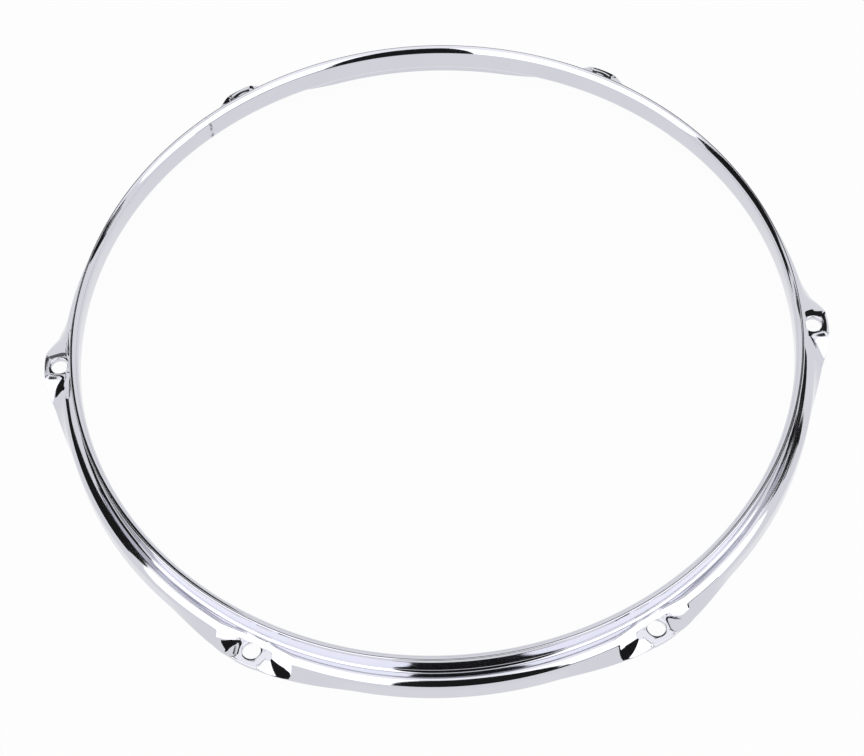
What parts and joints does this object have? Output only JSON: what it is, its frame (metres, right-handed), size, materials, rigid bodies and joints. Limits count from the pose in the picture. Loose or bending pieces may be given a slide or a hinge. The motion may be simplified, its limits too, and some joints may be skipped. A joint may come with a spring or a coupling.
{
  "type": "drum hoop",
  "caption": "Round pressed-steel drum hoop with an outward-rolled lip, an upright wall, a head-bearing shelf, a skirt and flat ears punched for tension rods.",
  "frame": {"origin": "centre of the hoop, level with the skirt's lower edge", "axes": "+Z along the hoop's axis, from the skirt towards the lip; +X through the middle of ear 0, and the ears follow anticlockwise every 60 degrees"},
  "size_m": [0.3376, 0.3234, 0.0226],
  "materials": {
    "chrome_plate": "bright mirror chrome plate on steel",
    "weld_chrome": "chrome plate over the dressed weld, slightly satin"
  },
  "bodies": {
    "root": {"hoop_strip": "chrome_plate", "butt_weld": "weld_chrome"}
  },
  "joints": []
}
